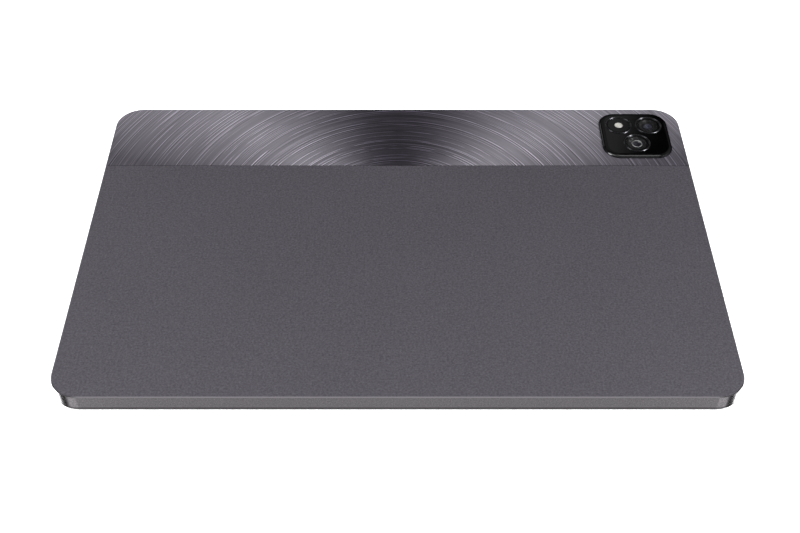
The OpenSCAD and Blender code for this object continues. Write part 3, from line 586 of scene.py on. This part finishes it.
def flash_plug():
    """The flash's moulded plug: a flange under the window and a ridged, slightly domed face."""
    z = WINDOW_FLOOR
    flange, side = 2.6, 1.95
    profile = [(0.0, z - 0.4), (flange, z - 0.4), (flange, z), (side, z), (side, z + 0.43),
               (1.92, z + 0.46), (1.86, z + 0.48)]
    radius = 1.8
    while radius > 0.25:
        profile += [(radius - inset, z + height) for inset, height in RIDGE]
        radius -= RIDGE_PITCH
    profile += [(0.0, z + 0.5)]
    piece_from(spun(profile, middle("flash_diffuser"), 72), "flash_plug_ridged", FINISHES["flash_white"],
               "tablet", "flash_white", "flash_diffuser")


def retaining_ring():
    """The thin steel ring that holds the second lens, in its funnel."""
    centre = middle("second_lens_barrel")
    foot = BARREL_TOP + 0.21
    shoulder = BARREL_TOP + 0.3
    inner, outer, rounding = 2.06, 2.36, 0.1
    profile = [(inner, foot), (outer, foot), (outer, shoulder)]
    profile += arc((outer - rounding, shoulder), rounding, 20, 90, 4)
    profile += arc((inner + rounding, shoulder), rounding, 100, 180, 4)
    steel = turned("retaining_ring_steel", centre, (0.5, 0.5, 0.51), 0.3)
    piece_from(spun(profile, centre, 72), "second_lens_retaining_ring", steel, "tablet", "steel")


for node in RING_NODES:
    lens_ring(node)
flash_plug()
# the last figures are each lens's painted coating reflection
lens_front("main_lens", "main_lens_barrel", "main_lens", 2.1, 0.16, (0.017, 0.018, 0.026))
lens_front("second_lens", "second_lens_barrel", "tablet", 1.75, 0.12, (0.004, 0.004, 0.007))
retaining_ring()


# ---------------------------------------------------------------- the charging socket

TONGUE_T = 0.7 * MM
CONTACT = (2.2 * MM, 0.28 * MM, 0.04 * MM)      # length, width and thickness
CONTACTS = 12                                   # on each face of the tongue
CONTACT_PITCH = 0.5 * MM


def socket_contacts():
    """The gold contacts on both faces of the charging socket's tongue."""
    low, high = (Vector(corner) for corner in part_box("usb_tongue"))
    centre = (low + high) / 2
    x = low.x + 1.6 * MM
    size = Matrix.Diagonal((*CONTACT, 1.0))
    mesh = bmesh.new()
    for face in (-1, 1):
        z = centre.z + face * (TONGUE_T + CONTACT[2]) / 2
        for index in range(CONTACTS):
            y = centre.y + (index - (CONTACTS - 1) / 2) * CONTACT_PITCH
            bmesh.ops.create_cube(mesh, size=1.0, matrix=Matrix.Translation((x, y, z)) @ size)
    piece_from(mesh, "socket_contacts", FINISHES["mic_gold"], "tablet", "mic_gold")


socket_contacts()


# ---------------------------------------------------------------- room, light and camera

FLOOR_Z = -0.15 * MM


def floor():
    mesh = bmesh.new()
    bmesh.ops.create_grid(mesh, x_segments=1, y_segments=1, size=6.0)
    bmesh.ops.translate(mesh, verts=mesh.verts, vec=(0, 0, FLOOR_Z))
    white = (0.93, 0.93, 0.93)
    # lit a little, so that it stays white
    paint = Finish("floor_white", white, 0.9, Emission_Color=(1.0, 1.0, 1.0, 1.0), Emission_Strength=0.6)
    paint.colour(paint.shade(white, paint.spread(paint.noise(3.0), 0.3, 0.7, 0.995, 1.005)))
    made = object_from(mesh, "studio_floor", paint.material)
    made.visible_glossy = False      # the metal sides mirror the studio, not the floor


# brightness of the studio, as its cards are set out by degrees round from the front:
# well below the table's edge, just below it and above it
BRIGHTEST = 8.0
LOW_CARDS = [(0, 0.97), (25, 0.9), (29, 1.6), (58, 1.6), (63, 0.05), (95, 0.05), (100, 6.0), (138, 6.0),
             (142, 0.8), (180, 0.8)]
SIDE_CARDS = [(0, 0.6), (60, 0.6), (80, 0.9), (180, 0.8)]
HIGH_CARDS = [(0, 0.8), (20, 0.8), (36, 0.25), (60, 0.25), (75, 0.5), (100, 0.5), (115, 0.25), (150, 0.25),
              (158, 0.0), (165, 0.0), (166.7, 0.27), (180, 0.3)]
HORIZON = 0.03
ZENITH = 0.12


def studio_world():
    """An even white room; polished surfaces see its cards and flags instead."""
    world = bpy.data.worlds.new("studio")
    scene.world = world
    world.use_nodes = True
    made = Graph(world.node_tree)
    plain = made.tree.nodes["Background"]
    plain.inputs[0].default_value = (1.0, 1.0, 1.0, 1.0)
    plain.inputs[1].default_value = 1.0

    def grey(level):
        return (level / BRIGHTEST,) * 3

    def cards(stops):
        return made.ramp(share, [(degrees / 180, grey(level)) for degrees, level in stops])

    across, away, up = made.node("SeparateXYZ", made.node("TexCoord").outputs["Generated"]).outputs
    forward = made.calc("MULTIPLY", away, -1.0)
    share = made.calc("DIVIDE", made.calc("ARCTAN2", made.calc("ABSOLUTE", across), forward), math.pi)
    # the horizon's dark band is taller on the camera's side
    rise = made.calc("SUBTRACT", up, made.spread(forward, -0.3, 0.3, 0.0, 0.26))
    seen = made.blend(made.spread(up, -0.56, -0.48), cards(LOW_CARDS), cards(SIDE_CARDS))
    seen = made.blend(made.spread(up, -0.03, 0.01), seen, grey(HORIZON))
    seen = made.blend(made.spread(rise, 0.02, 0.14), seen, cards(HIGH_CARDS))
    seen = made.blend(made.spread(up, 0.72, 0.84), seen, grey(ZENITH))
    mirrored = made.node("Background", seen, BRIGHTEST)
    path = made.node("LightPath").outputs["Is Glossy Ray"]
    both = made.node("MixShader", path, plain.outputs[0], mirrored.outputs[0])
    made.put(made.tree.nodes["World Output"].inputs[0], both.outputs[0])


def soft_light(name, place, aim, size, watts):
    """A rectangular lamp that faces a point."""
    lamp = bpy.data.lights.new(name, "AREA")
    lamp.shape = "RECTANGLE"
    lamp.size, lamp.size_y = size
    lamp.energy = watts
    made = bpy.data.objects.new(name, lamp)
    scene.collection.objects.link(made)
    made.location = place
    made.rotation_euler = (Vector(aim) - Vector(place)).to_track_quat("-Z", "Y").to_euler()


def camera():
    eye = bpy.data.cameras.new("camera")
    eye.sensor_width = 36.0
    eye.lens = 53.264
    eye.shift_x = 0.003
    eye.shift_y = 0.0012
    eye.clip_start = 0.01
    made = bpy.data.objects.new("camera", eye)
    scene.collection.objects.link(made)
    made.location = (0.0, -0.35143, 0.34902)
    made.rotation_euler = (math.radians(44.299), 0.0, 0.0)
    scene.camera = made


FAR_CORNER = (0.11, 0.065, 0.0)      # the corner that the side lamps face

floor()
studio_world()
soft_light("overhead_softbox", (0.0, 0.1, 1.5), (0.0, 0.0, 0.0), (1.6, 0.5), 7.5)
soft_light("right_spot", (1.08, -0.32, 0.95), FAR_CORNER, (0.36, 0.2), 22.0)
soft_light("left_softbox", (-0.86, -0.2, 0.86), FAR_CORNER, (0.5, 0.4), 8.5)
soft_light("far_left_card", (-0.63, 1.04, 0.45), FAR_CORNER, (0.4, 0.3), 0.8)
camera()
scene.view_settings.view_transform = "Standard"
scene.view_settings.look = "None"
